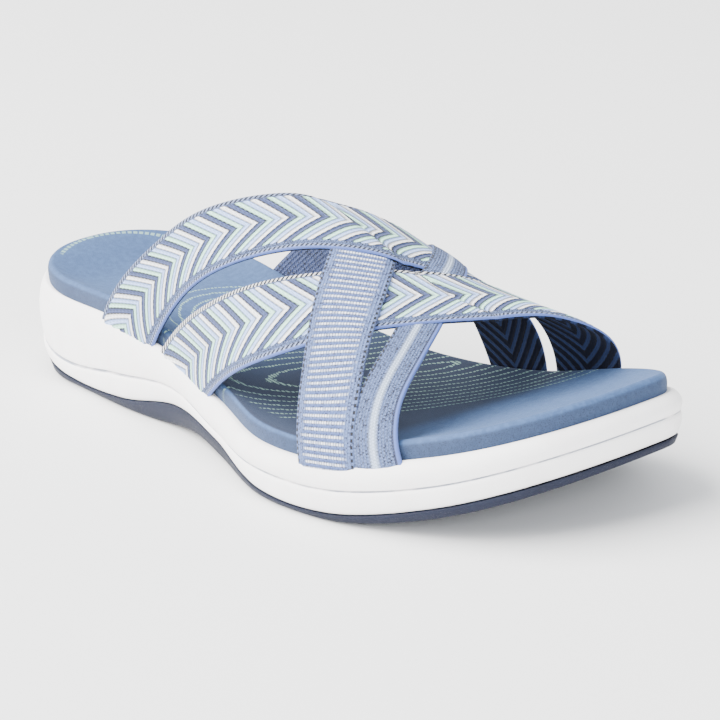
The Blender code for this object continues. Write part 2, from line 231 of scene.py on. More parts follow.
# The footbed's print in millimetres: its ovals' middles, tilts and stretches, the gaps between
# its lines and along its dashes, how far it reaches, and the row of dashes around the heel
Oval = namedtuple("Oval", "x y tilt stretch")
BALL_OVAL = Oval(31.0, 21.7, 0.957, 4.0)
ARCH_OVAL = Oval(-32.0, 4.0, math.radians(12), 1.5)
HEEL_OVAL = Oval(-100.5, 2.7, 0.0, 1.0)
ARCH_INSET = 12.0
PRINT_SPACING = 3.3
DASH_PITCH = 1.3
PRINT_REACH = 37.0
HEEL_ROW_RADIUS = 26.6
HEEL_ROW_DASHES = 13.0

# Where the print, its heel row and the darker suede under the straps, partly painted shade,
# begin and are full, in millimetres
PRINT_SIDE = (-38.0, -36.5)
HEEL_ROW_FRONT = (-94.0, -96.0)
HEEL_ROW_SIDE = (-14.0, -12.0)
DARKER_SHADED_TOE = (82.0, 68.0)
DARKER_SHADED_HEEL = (-45.0, 15.0)


def srgb(red, green, blue):
    """A screen colour from 0 to 255, made linear."""
    shares = [channel / 255 for channel in (red, green, blue)]
    return tuple(s / 12.92 if s <= 0.04045 else ((s + 0.055) / 1.055) ** 2.4 for s in shares)


def curve(stations, values, at):
    """A smooth curve through a table's values, read at an array of places."""
    x = np.asarray(stations, float)
    y = np.asarray(values, float)
    steps = np.diff(y) / np.diff(x)
    before = np.diff(x)[:-1]
    after = np.diff(x)[1:]
    slopes = np.zeros_like(y)
    slopes[1:-1] = (steps[:-1] * after + steps[1:] * before) / (before + after)
    slopes[0] = 1.5 * steps[0] - 0.5 * slopes[1]
    slopes[-1] = 1.5 * steps[-1] - 0.5 * slopes[-2]
    at = np.clip(at, x[0], x[-1])
    i = np.clip(np.searchsorted(x, at, side="right") - 1, 0, len(x) - 2)
    gap = x[i + 1] - x[i]
    t = (at - x[i]) / gap
    return (y[i] * (2 * t**3 - 3 * t**2 + 1) + slopes[i] * gap * (t**3 - 2 * t**2 + t)
            + y[i + 1] * (3 * t**2 - 2 * t**3) + slopes[i + 1] * gap * (t**3 - t**2))


def ease(t):
    """A smooth step from 0 to 1."""
    t = np.clip(t, 0.0, 1.0)
    return t * t * (3 - 2 * t)


def sides(station):
    """The lateral and medial edges of the footbed's outline."""
    heel = np.maximum(1 - station * LENGTH / HEEL_ROUND, 0.0)
    toe = np.maximum(1 - (1 - station) * LENGTH / TOE_ROUND, 0.0)
    width = ((np.maximum(1 - heel**2.2, 0.0)) ** (1 / 2.2)
             * (np.maximum(1 - toe**2.3, 0.0)) ** (1 / 2.3))
    swing = TOE_SWING * ease((station - 0.6) / 0.4)
    lateral = BALL_WIDTH * curve(SECTIONS.station, SECTIONS.lateral, station)
    medial = BALL_WIDTH * curve(SECTIONS.station, SECTIONS.medial, station)
    return swing - (lateral + swing) * width, swing + (medial - swing) * width


def sole_line(shares):
    """The height of one of the sole's lines, read at a station."""
    return lambda station: HEEL_HEIGHT * curve(SECTIONS.station, shares, station)


rim_height = sole_line(SECTIONS.rim)
groove_height = sole_line(SECTIONS.groove)
seam_height = sole_line(SECTIONS.seam)


def floor_height(station):
    """The underside: flat under heel and ball, lifted at the arch, the heel's back and the toe."""
    waist = np.clip((station - HEEL_FLAT[1]) / (BALL_FLAT[0] - HEEL_FLAT[1]), 0.0, 1.0)
    arch = ARCH_LIFT * np.sin(np.pi * waist) ** 2
    toe = TOE_SPRING * np.maximum(station - BALL_FLAT[1], 0.0) ** 1.7 / (1 - BALL_FLAT[1]) ** 1.7
    heel = HEEL_LIFT * np.maximum(1 - station / HEEL_FLAT[0], 0.0) ** 2
    return arch + toe + heel


def dish(station, across):
    """How far the foot's bed lies below the rim, with the arch pad on the medial side."""
    depth = DISH_DEPTH * (1.0 - 0.55 * ease((station - 0.25) / 0.35))
    pad = ARCH_PAD * np.exp(-((station - 0.42) / 0.12) ** 2) * np.maximum(across, 0.0) ** 2
    ends = ease(station * LENGTH / HEEL_ROUND) * ease((1 - station) * LENGTH / TOE_ROUND)
    return (depth - pad) * (1 - across**4) * ends


def around(steps):
    """Stations around the sole from the heel along the lateral side and back, and their points."""
    angle = np.pi * np.arange(2 * steps) / steps
    station = (1 - np.cos(angle)) / 2
    lateral, medial = sides(station)
    y = np.where(np.arange(2 * steps) < steps, lateral, medial)
    return station, np.stack([(station - 0.5) * LENGTH, y], axis=-1)


def outwards(points):
    """The outline's outward direction at each of its points."""
    along = np.roll(points, -1, axis=0) - np.roll(points, 1, axis=0)
    normal = np.stack([along[:, 1], -along[:, 0]], axis=-1)
    return normal / np.linalg.norm(normal, axis=1, keepdims=True)


def middle():
    """The plan's middle, as the part's source works it out."""
    points = around(44)[1]
    widest = points + outwards(points) * WALL_BULGE
    return (widest.max(axis=0) + widest.min(axis=0)) / 2


MIDDLE = middle()


def instep_points(station, turn):
    """Points of the instep that the straps lie on, in the middle of their thickness."""
    lateral, medial = sides(station)
    lateral = lateral - STRAP_THICKNESS / 2
    medial = medial + STRAP_THICKNESS / 2
    crown = INSTEP_HEIGHT * curve(INSTEP.station, INSTEP.height, station) + SLOT_DEPTH
    shift = BALL_WIDTH * curve(INSTEP.station, INSTEP.shift, station)
    lateral_side = turn < 0.5
    across = np.where(lateral_side, LATERAL_ROUND[0], MEDIAL_ROUND[0])
    upwards = np.where(lateral_side, LATERAL_ROUND[1], MEDIAL_ROUND[1])
    cosine = np.cos(np.pi * turn)
    sine = np.maximum(np.sin(np.pi * turn), 0.0)
    y = (lateral + medial) / 2 + shift * sine**2
    y = y - (medial - lateral) / 2 * np.sign(cosine) * np.abs(cosine) ** (2 / across)
    z = rim_height(station) - SLOT_DEPTH + crown * sine ** (2 / upwards)
    return np.stack([(station - 0.5) * LENGTH - MIDDLE[0], y - MIDDLE[1], z], axis=-1)


def instep_normals(station, turn):
    step = 0.004
    low = np.maximum(turn - step, 0.0)
    high = np.minimum(turn + step, 1.0)
    circling = instep_points(station, high) - instep_points(station, low)
    along = instep_points(station + step, turn) - instep_points(station - step, turn)
    normal = np.cross(along, circling)
    return normal / np.linalg.norm(normal, axis=-1, keepdims=True)


def strap_surface(strap, turn, across):
    """A strap's middle points and outward directions at arrays of turns and shares across."""
    rear = curve(TURNS, strap.rear, turn)
    front = curve(TURNS, strap.front, turn)
    station = rear + (front - rear) * across
    turn = np.broadcast_to(turn, station.shape)
    lift = (WEAVE_STEP * curve(WEAVE_TURNS, strap.level, turn)
            - STRAP_SAG * curve(TURNS, strap.sag, turn))
    normal = instep_normals(station, turn)
    return instep_points(station, turn) + normal * lift[..., None], normal


def even_turns(strap, step):
    """Turns a step apart along a strap's middle, and the millimetres from its lateral end."""
    fine = (1 - np.cos(np.linspace(0, np.pi, 1201))) / 2
    centre = strap_surface(strap, fine, np.full(1201, 0.5))[0]
    length = np.concatenate([[0.0], np.cumsum(np.linalg.norm(np.diff(centre, axis=0), axis=1))])
    count = int(length[-1] / step)
    wanted = np.linspace(0, length[-1], count + 1)
    return np.interp(wanted, length, fine), wanted / MM


def smooth(mesh):
    for face in mesh.faces:
        face.smooth = True


def add_piece(name, mesh, materials, node):
    """An object from a bmesh that stands for a solid of the part."""
    data = bpy.data.meshes.new(name)
    mesh.to_mesh(data)
    mesh.free()
    made = bpy.data.objects.new(name, data)
    bpy.context.scene.collection.objects.link(made)
    for finish in materials:
        data.materials.append(finish)
    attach(made, "root")
    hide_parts(node)
    return made


def add_grid(mesh, points, flip=False):
    """A grid of faces whose corners go to an array of points; returns its vertices by row."""
    rows, columns = points.shape[0] - 1, points.shape[1] - 1
    made = bmesh.ops.create_grid(mesh, x_segments=columns, y_segments=rows, size=1.0)["verts"]
    ordered = np.empty((rows + 1, columns + 1), object)
    for vert in made:
        i = round((vert.co.y + 1) / 2 * rows)
        j = round((vert.co.x + 1) / 2 * columns)
        ordered[i, j] = vert
        vert.co = points[i, j]
    if flip:
        faces = {face for vert in made for face in vert.link_faces}
        bmesh.ops.reverse_faces(mesh, faces=list(faces))
    return ordered


def chevron_rope(along, across, width):
    """The relief of the chevron's rows, from 0 between them to 1 on their backs."""
    phase = (along + CHEVRON_SLOPE * np.abs(across - CHEVRON_APEX * width)) / CHEVRON_PERIOD
    return np.abs(np.sin(np.pi * CHEVRON_BANDS * phase))


def strap_section(webbing):
    """Places across a strap and back under it, in millimetres, how far each lies off the middle
    of its thickness, and how many are on its face."""
    width = webbing.width
    edge = np.array([0.0, 0.05, 0.15, 0.35])
    face = np.concatenate([edge, np.linspace(0.6, width - 0.6, int(width / STRAP_STEP)),
                           width - edge[::-1]])
    back = np.linspace(width - 0.3, 0.3, int((width - 1.0) / 1.2))
    table = sorted((place if place > 0 or i == 0 else width + place, lift)
                   for i, (place, lift) in enumerate(webbing.face))
    places, lifts = zip(*table)
    lift = np.concatenate([np.interp(face, places, lifts), np.full(len(back), -0.85), [0.0]])
    return np.concatenate([face, back, face[:1]]), lift, len(face)


def make_strap(name, webbing, relief, finishes):
    """A strap: a grid rolled round its section, with its ribs or rows raised on its face."""
    strap = STRAPS[name]
    turns, along = even_turns(strap, STRAP_STEP * MM)
    across, lift, faced = strap_section(webbing)
    points, normal = strap_surface(strap, turns[:, None], across[None, :] / webbing.width)
    centre = strap_surface(strap, turns, np.full(len(turns), 0.5))[0]
    tangent = np.gradient(centre, axis=0)
    tangent /= np.linalg.norm(tangent, axis=1, keepdims=True)
    slant = ((points - centre[:, None]) * tangent[:, None]).sum(axis=-1) / MM
    u = along[:, None] + slant
    v = np.broadcast_to(across[None, :], u.shape)
    raised = relief(u, v, webbing.width)
    raised[:, faced:] = 0.0
    points = points + normal * ((lift[None, :] + raised) * MM)[..., None]
    mesh = bmesh.new()
    layer = mesh.loops.layers.uv.new("weave")
    ordered = add_grid(mesh, points, flip=True)
    places = {ordered[i, j]: (u[i, j], v[i, j], j) for i, j in np.ndindex(ordered.shape)}
    for face in mesh.faces:
        on_back = min(places[loop.vert][2] for loop in face.loops) >= faced - 1
        face.material_index = int(on_back)
        for loop in face.loops:
            loop[layer].uv = places[loop.vert][:2]
    bmesh.ops.remove_doubles(mesh, verts=mesh.verts[:], dist=1e-7)
    rims = [edge for edge in mesh.edges if edge.is_boundary]
    bmesh.ops.holes_fill(mesh, edges=rims)
    smooth(mesh)
    return add_piece(name + "_strap", mesh, finishes, "upper")


def ring(station, points, offset, height):
    """Points of an offset outline, at given heights."""
    moved = points + outwards(points) * offset
    return np.stack([moved[:, 0] - MIDDLE[0], moved[:, 1] - MIDDLE[1], height], axis=-1)


def cap_points(edge, station, columns, height):
    """A grid inside a closed edge, from its lateral to its medial side."""
    half = len(edge) // 2
    lateral = edge[:half + 1]
    medial = np.concatenate([edge[:1], edge[:half - 1:-1]])
    share = np.linspace(0, 1, columns + 1)
    points = lateral[:, None] * (1 - share[None, :, None]) + medial[:, None] * share[None, :, None]
    inside = height(station[:half + 1, None], 2 * share[None, :] - 1, points)
    points[1:-1, 1:-1, 2] = inside[1:-1, 1:-1]
    return points


def make_layer(name, wall, top, bottom, finishes, steps, columns, shade_rows=()):
    """A layer of the sole: its wall of rings, closed by a top and an underside. The rows of
    the wall that are given for painted shade have the second finish."""
    station, points = around(steps)
    rings = np.stack([ring(station, points, offset * MM, height(station))
                      for offset, height in wall])
    mesh = bmesh.new()
    closed = np.concatenate([rings, rings[:, :1]], axis=1)
    ordered = add_grid(mesh, closed)
    rows = {vert: i for i in range(len(wall)) for vert in ordered[i]}
    for face in mesh.faces:
        face.material_index = int(min(rows[vert] for vert in face.verts) in shade_rows)
    add_grid(mesh, cap_points(rings[-1], station, columns, top), flip=True)
    add_grid(mesh, cap_points(rings[0], station, columns, bottom))
    bmesh.ops.remove_doubles(mesh, verts=mesh.verts[:], dist=1e-7)
    bmesh.ops.dissolve_degenerate(mesh, edges=mesh.edges[:], dist=1e-8)
    smooth(mesh)
    return add_piece(name, mesh, finishes, name.rsplit("_", 1)[0])


class Wiring:
    """Adds nodes to a tree and links them."""

    def __init__(self, tree):
        self.tree = tree

    def node(self, kind):
        return self.tree.nodes.new(kind)

    def feed(self, socket, value):
        """Link a socket to this one, or set its value; a colour of three shares is opaque."""
        if isinstance(value, bpy.types.NodeSocket):
            self.tree.links.new(value, socket)
        else:
            socket.default_value = (*value, 1.0) if socket.type == "RGBA" else value

    def put_out(self, node, *values):
        for socket, value in zip(node.inputs, values):
            self.feed(socket, value)

    def math(self, operation, *values):
        made = self.node("ShaderNodeMath")
        made.operation = operation
        self.put_out(made, *values)
        return made.outputs[0]

    add = partialmethod(math, "ADD")
    minus = partialmethod(math, "SUBTRACT")
    times = partialmethod(math, "MULTIPLY")
    over = partialmethod(math, "DIVIDE")
    scaled = partialmethod(math, "MULTIPLY_ADD")
    larger = partialmethod(math, "MAXIMUM")
    whole = partialmethod(math, "FLOOR")

    def apart(self, first, second):
        return self.math("ABSOLUTE", self.minus(first, second))

    def wave(self, value):
        """0 at whole numbers and 1 halfway between them."""
        return self.math("ABSOLUTE", self.math("SINE", self.times(value, math.pi)))

    def step(self, value, low, high):
        """0 below low, 1 above high and smooth between; low may be the larger."""
        made = self.node("ShaderNodeMapRange")
        made.interpolation_type = "SMOOTHSTEP"
        self.put_out(made, value, low, high, 0.0, 1.0)
        return made.outputs[0]

    def mix(self, factor, first, second):
        """A colour between two."""
        made = self.node("ShaderNodeMix")
        made.data_type = "RGBA"
        self.feed(made.inputs[0], factor)
        self.feed(made.inputs[6], first)
        self.feed(made.inputs[7], second)
        return made.outputs[2]

    def split(self, vector):
        made = self.node("ShaderNodeSeparateXYZ")
        self.feed(made.inputs[0], vector)
        return made.outputs[:3]

    def noise(self, vector, scale, detail, roughness=0.5):
        made = self.node("ShaderNodeTexNoise")
        self.feed(made.inputs["Vector"], vector)
        self.feed(made.inputs["Scale"], scale)
        self.feed(made.inputs["Detail"], detail)
        self.feed(made.inputs["Roughness"], roughness)
        return made.outputs[0]

    def chance(self, first, second):
        """A value from 0 to 1 that is even all over a cell, told by two whole numbers."""
        cell = self.node("ShaderNodeCombineXYZ")
        self.put_out(cell, first, second)
        made = self.node("ShaderNodeTexWhiteNoise")
        self.feed(made.inputs["Vector"], cell.outputs[0])
        return made.outputs[0]

    def group(self, name, **values):
        """The outputs of a shared node group, which is built once, its inputs told by name."""
        made = self.node("ShaderNodeGroup")
        made.node_tree = bpy.data.node_groups.get(name) or GROUPS[name](name)
        for label, value in values.items():
            self.feed(made.inputs[label.replace("_", " ")], value)
        return list(made.outputs)

    def coordinates(self):
        """The place on the piece, in millimetres."""
        scale = self.node("ShaderNodeVectorMath")
        scale.operation = "SCALE"
        self.feed(scale.inputs[0], self.node("ShaderNodeTexCoord").outputs["Object"])
        self.feed(scale.inputs["Scale"], 1 / MM)
        return scale.outputs[0]


def new_group(name, inputs, outputs):
    """An empty node group with named sockets, its wiring, what it is given and its output."""
    tree = bpy.data.node_groups.new(name, "ShaderNodeTree")
    kinds = {"colour": "NodeSocketColor", "value": "NodeSocketFloat", "vector": "NodeSocketVector"}
    for way, sockets in (("INPUT", inputs), ("OUTPUT", outputs)):
        for label, kind in sockets:
            tree.interface.new_socket(label, in_out=way, socket_type=kinds[kind])
    w = Wiring(tree)
    given = w.node("NodeGroupInput").outputs[:len(inputs)]
    return tree, w, given, w.node("NodeGroupOutput")


YARN_INPUTS = [("Along", "value"), ("Across", "value"), ("Light", "colour"), ("Dark", "colour"),
               ("Pitch", "value")]
WEAVE_OUTPUTS = [("Colour", "colour"), ("Height", "value")]


def heather_group(name):
    """Mottled yarn: two colours mixed by a fine woven speckle, with painted shade between
    the loops.
    """
    tree, w, given, out = new_group(name, YARN_INPUTS, WEAVE_OUTPUTS)
    along, across, light, dark, pitch = given
    column = w.over(across, pitch)
    row = w.add(w.over(along, pitch), w.times(w.whole(column), 0.5))
    leg = w.apart(w.math("FRACT", column), 0.5)
    loops = w.times(w.wave(w.add(row, leg)), w.wave(column))
    speck = w.chance(w.whole(w.times(row, 2.0)), w.whole(w.times(column, 2.0)))
    # Painted shade between the knit loops, added to the dark specks
    shade = w.times(w.step(loops, 0.5, 0.1), 0.40)
    mixed = w.scaled(w.step(speck, 0.55, 0.95), 0.72, shade)
    w.put_out(out, w.mix(mixed, light, dark), loops)
    return tree


def selvage_group(name):
    """A whipped edge: slanted ticks of light and dark yarn."""
    tree, w, given, out = new_group(name, YARN_INPUTS, WEAVE_OUTPUTS)
    along, across, light, dark, pitch = given
    tick = w.wave(w.over(w.scaled(across, TICK_SLANT, along), pitch))
    w.put_out(out, w.mix(w.step(tick, 0.60, 0.88), dark, light), tick)
    return tree


def chevron_group(name):
    """The chevron weave: rows of slate, mint, pale blue and white yarn that meet in a point,
    with painted shade in the valleys between the rows.
    """
    tree, w, given, out = new_group(
        name,
        [("Along", "value"), ("Across", "value"), ("Width", "value"), ("Phase", "value"),
         ("Slate", "colour"), ("Mint", "colour"), ("Pale", "colour"), ("White", "colour"),
         ("Dark", "colour")],
        WEAVE_OUTPUTS)
    along, across, width, phase, slate, mint, pale, white, dark = given
    arm = w.apart(across, w.times(width, CHEVRON_APEX))
    period = w.over(w.scaled(arm, CHEVRON_SLOPE, w.add(along, phase)), CHEVRON_PERIOD)
    share = w.math("FRACT", period)
    yarns = slate
    for row, strand in enumerate((mint, pale, white), 1):
        yarns = w.mix(w.math("GREATER_THAN", share, row / CHEVRON_BANDS), yarns, strand)
    rope = w.wave(w.times(period, CHEVRON_BANDS))
    half_rows = w.times(period, 2 * CHEVRON_BANDS)
    twist = w.wave(w.over(w.scaled(w.whole(half_rows), 0.45, across), TWIST_PITCH))
    dashes = w.step(twist, 0.40, 0.75)
    # The lines between the rows are strongest beside the slate row, whose middle is at 1/8
    from_slate = w.apart(w.math("FRACT", w.add(period, 0.375)), 0.5)
    line = w.times(w.step(rope, 0.64, 0.30),
                   w.scaled(w.step(from_slate, 0.22, 0.17), 0.35, 0.65))
    line = w.times(line, w.scaled(dashes, 0.35, 0.65))
    seam = w.times(w.step(w.wave(half_rows), 0.60, 0.25),
                   w.scaled(w.step(from_slate, 0.13, 0.10), 0.50, 0.45))
    strength = w.larger(line, w.times(seam, dashes))
    # Painted shade in the valleys between the rows
    strength = w.larger(strength, w.times(w.step(rope, 0.95, 0.45), 0.16))
    w.put_out(out, w.mix(strength, yarns, dark), w.scaled(twist, 0.12, w.times(rope, 0.88)))
    return tree


def grain_group(name):
    """Fine grain and broad mottling, for foam, suede and rubber."""
    tree, w, given, out = new_group(
        name,
        [("Place", "vector"), ("Fineness", "value")],
        [("Grain", "value"), ("Mottle", "value")])
    place, fineness = given
    w.put_out(out, w.noise(place, fineness, 3.0), w.noise(place, 0.09, 3.0, 0.6))
    return tree


def ovals_group(name):
    """Distance from the middle of a tilted oval, millimetres along its lines, and its turn."""
    tree, w, given, out = new_group(
        name,
        [("Place", "vector"), ("Centre X", "value"), ("Centre Y", "value"), ("Tilt", "value"),
         ("Stretch", "value")],
        [("Radius", "value"), ("Along", "value"), ("Turn", "value")])
    place, centre_x, centre_y, tilt, stretch = given
    x, y, _ = w.split(place)
    x = w.minus(x, centre_x)
    y = w.minus(y, centre_y)
    cosine = w.math("COSINE", tilt)
    sine = w.math("SINE", tilt)
    major = w.add(w.times(x, cosine), w.times(y, sine))
    minor = w.minus(w.times(y, cosine), w.times(x, sine))
    shrunk = w.over(major, stretch)
    radius = w.math("SQRT", w.add(w.times(shrunk, shrunk), w.times(minor, minor)))
    w.put_out(out, radius, w.scaled(minor, 0.6, major), w.math("ARCTAN2", minor, major))
    return tree


GROUPS = {
    "Heather yarn": heather_group,
    "Whipped edge": selvage_group,
    "Chevron weave": chevron_group,
    "Fine grain": grain_group,
    "Print ovals": ovals_group,
}


class Finish(Wiring):
    """A material's wiring: plain values first, and its colour and relief when it is done."""

    def __init__(self, name, roughness, sheen=0.0, tint=(1.0, 1.0, 1.0), specular=0.5):
        self.material = bpy.data.materials.new(name)
        self.material.use_nodes = True
        super().__init__(self.material.node_tree)
        self.inputs = self.tree.nodes["Principled BSDF"].inputs
        self.feed(self.inputs["Roughness"], roughness)
        self.feed(self.inputs["Specular IOR Level"], specular)
        self.feed(self.inputs["Sheen Weight"], sheen)
        self.feed(self.inputs["Sheen Roughness"], 0.5)
        self.feed(self.inputs["Sheen Tint"], tint)

    def weave_place(self):
        """The weave's millimetres along and across a strap."""
        source = self.node("ShaderNodeUVMap")
        source.uv_map = "weave"
        return self.split(source.outputs[0])[:2]

    def done(self, shown, height, distance):
        """The material, with a colour and a relief that stands a distance in millimetres."""
        relief = self.node("ShaderNodeBump")
        self.feed(relief.inputs["Distance"], distance * MM)
        self.feed(relief.inputs["Height"], height)
        self.feed(self.inputs["Base Color"], shown)
        self.feed(self.inputs["Normal"], relief.outputs[0])
        return self.material


def yarn(w, group, place, pitch, light, dark):
    """The colour and the height of a yarn of two colours."""
    return w.group(group, Along=place[0], Across=place[1], Pitch=pitch, Light=light, Dark=dark)


def chevrons(w, place, phase, *yarns):
    """The colour and the height of the chevrons, in slate, mint, pale, white and dark yarns."""
    named = dict(zip(("Slate", "Mint", "Pale", "White", "Dark"), yarns))
    return w.group("Chevron weave", Along=place[0], Across=place[1],
                   Width=CHEVRON_WEBBING.width, Phase=phase, **named)


def stitches(w, along, inset):
    """A line of stitches beside an edge, which lies an inset away in millimetres."""
    outer, inner = STITCH_LINE
    return w.times(w.step(w.wave(w.over(along, STITCH_PITCH)), 0.50, 0.80),
                   w.times(w.step(inset, *outer), w.step(inset, *inner)))


def chevron_material(name, settings, phase, whip):
    """Chevron webbing; whip is the light and dark yarn of its rear edge."""
    w = Finish(name, 0.75, 0.06)
    place = w.weave_place()
    across = place[1]
    from_front = w.minus(CHEVRON_WEBBING.width, across)
    weave, relief = chevrons(w, place, phase, settings.slate, settings.mint, settings.pale,
                             settings.white, settings.dark)
    heather, loops = yarn(w, "Heather yarn", place, FINE_YARN_PITCH, settings.border,
                          settings.dark)
    rear_ticks = yarn(w, "Whipped edge", place, TICK_PITCH, *whip)[0]
    front_ticks = yarn(w, "Whipped edge", place, TICK_PITCH, settings.tick, settings.dark)[0]
    # The rows reach into the border between them, with a dark line around their ends
    finger = w.times(relief, 0.8)
    field = w.times(w.step(w.add(across, finger), *CHEVRON_FIELD_REAR),
                    w.step(w.add(from_front, finger), *CHEVRON_FIELD_FRONT))
    shown = w.mix(w.step(field, 0.55, 0.05), weave, heather)
    outline = w.times(w.step(field, 0.0, 0.4), w.step(field, 1.0, 0.6))
    shown = w.mix(w.times(outline, 0.8), shown, settings.dark)
    half_loops = w.times(loops, 0.5)
    height = w.scaled(field, w.minus(relief, half_loops), half_loops)
    # Both edges are whipped, the front one inside a smooth roll
    shown = w.mix(w.step(across, *WHIP_REAR), shown, rear_ticks)
    shown = w.mix(w.step(from_front, *WHIP_FRONT), shown, front_ticks)
    roll = w.larger(w.step(from_front, *ROLL_FRONT), w.step(across, *ROLL_REAR))
    shown = w.mix(roll, shown, settings.roll)
    return w.done(shown, w.times(height, w.minus(1.0, roll)), 1.0)


def ribbed_material(name, settings):
    """Ribbed webbing: pale ribs with ragged ends between two stitched borders."""
    w = Finish(name, 0.8, 0.06)
    place = along, across = w.weave_place()
    from_front = w.minus(RIBBED_WEBBING.width, across)
    heather, loops = yarn(w, "Heather yarn", place, YARN_PITCH, settings.border, settings.deep)
    rib = w.over(along, settings.rib_pitch / MM)
    back = w.wave(rib)
    column = w.over(across, YARN_PITCH)
    ragged = w.chance(w.whole(rib), w.whole(column))
    dots = w.wave(column)
    reach = w.times(ragged, 1.8)
    zone = w.times(w.step(w.minus(across, reach), *RIB_FIELD_REAR),
                   w.step(w.minus(from_front, reach), *RIB_FIELD_FRONT))
    bright = w.times(w.step(dots, 0.1, 0.7), w.scaled(ragged, 0.55, 0.40))
    pale = w.times(w.times(w.step(back, 0.72, 0.97), zone), bright)
    valley = w.times(w.times(w.step(back, 0.60, 0.05), zone), 0.75)
    shown = w.mix(valley, heather, settings.roll)
    shown = w.mix(pale, shown, settings.white)
    inset = w.math("MINIMUM", across, from_front)
    shown = w.mix(stitches(w, along, inset), shown, settings.black)
    height = w.scaled(loops, 0.25, w.times(back, zone))
    return w.done(shown, w.scaled(dots, 0.2, height), 0.5)


def narrow_material(name, settings):
    """Narrow webbing: a pale middle stripe, a stitched rear edge and a rolled front edge."""
    width = NARROW_WEBBING.width
    w = Finish(name, 0.8, 0.06)
    place = along, across = w.weave_place()
    from_front = w.minus(width, across)
    heather, loops = yarn(w, "Heather yarn", place, YARN_PITCH, settings.border, settings.dark)
    stripe = w.times(w.step(w.apart(across, width / 2), 1.7, 0.2), w.scaled(loops, 0.30, 0.60))
    shown = w.mix(stripe, heather, settings.stripe)
    shown = w.mix(stitches(w, along, across), shown, settings.black)
    inner, outer = NARROW_LINE
    line = w.times(w.step(from_front, *inner), w.step(from_front, *outer))
    shown = w.mix(w.times(line, 0.8), shown, settings.deep)
    roll = w.step(from_front, *NARROW_ROLL)
    shown = w.mix(roll, shown, settings.roll)
    return w.done(shown, w.times(loops, w.minus(1.0, roll)), 0.45)


def lining_material(name, settings, phase):
    """The chevron straps' inner faces: the weave's back, dark with paler floats."""
    w = Finish(name, 0.9, 0.02, specular=0.2)
    weave, relief = chevrons(w, w.weave_place(), phase, settings.lining, settings.floats,
                             settings.lining, settings.floats, settings.black)
    return w.done(weave, relief, 0.22)


def plain_lining_material(name, settings):
    """The ribbed and the narrow strap's inner faces."""
    w = Finish(name, 0.85, 0.1)
    heather, loops = yarn(w, "Heather yarn", w.weave_place(), COARSE_YARN_PITCH, settings.slate,
                          settings.lining)
    return w.done(heather, loops, 0.3)


def foam_material(name, light, shade):
    """Moulded foam with a fine skin."""
    w = Finish(name, 0.55, 0.05)
    grain, mottle = w.group("Fine grain", Place=w.coordinates(), Fineness=2.2)
    w.feed(w.inputs["Roughness"], w.scaled(grain, 0.15, 0.48))
    return w.done(w.mix(w.step(mottle, 0.35, 0.75), light, shade), grain, 0.05)


def rubber_material(settings):
    """Moulded rubber with shallow pits."""
    w = Finish("outsole rubber", 0.7, specular=0.25)
    place = w.coordinates()
    grain, mottle = w.group("Fine grain", Place=place, Fineness=1.6)
    pits = w.node("ShaderNodeTexVoronoi")
    w.feed(pits.inputs["Vector"], place)
    w.feed(pits.inputs["Scale"], 1.25)
    pit = w.step(pits.outputs["Distance"], 0.05, 0.45)
    shown = w.mix(w.times(w.step(mottle, 0.3, 0.7), 0.5), settings.rubber, settings.rubber_shade)
    w.feed(w.inputs["Roughness"], w.scaled(grain, 0.2, 0.5))
    return w.done(shown, w.scaled(pit, 0.6, w.times(grain, 0.4)), 0.22)


def suede_print(w, place, nap):
    """The dashed contour lines at the arch and under the ball, and the row around the heel."""
    x, y, _ = w.split(place)

    def ovals(oval):
        return w.group("Print ovals", Place=place, Centre_X=oval.x, Centre_Y=oval.y,
                       Tilt=oval.tilt, Stretch=oval.stretch)

    ball, along, _ = ovals(BALL_OVAL)
    arch = ovals(ARCH_OVAL)[0]
    radius = w.math("SMOOTH_MIN", ball, w.add(arch, ARCH_INSET), 8.0)
    line = w.step(w.wave(w.over(w.scaled(nap, 1.5, radius), PRINT_SPACING)), 0.34, 0.18)
    dash = w.step(w.wave(w.over(along, DASH_PITCH)), 0.40, 0.65)
    zone = w.times(w.step(radius, PRINT_REACH, PRINT_REACH - 1.0), w.step(y, *PRINT_SIDE))
    contours = w.times(w.times(line, dash), zone)
    rim, _, turn = ovals(HEEL_OVAL)
    row = w.times(w.step(w.apart(rim, HEEL_ROW_RADIUS), 0.85, 0.55),
                  w.step(w.wave(w.times(turn, HEEL_ROW_DASHES)), 0.35, 0.6))
    row = w.times(row, w.times(w.step(x, *HEEL_ROW_FRONT), w.step(y, *HEEL_ROW_SIDE)))
    return w.larger(contours, w.times(row, 0.8))


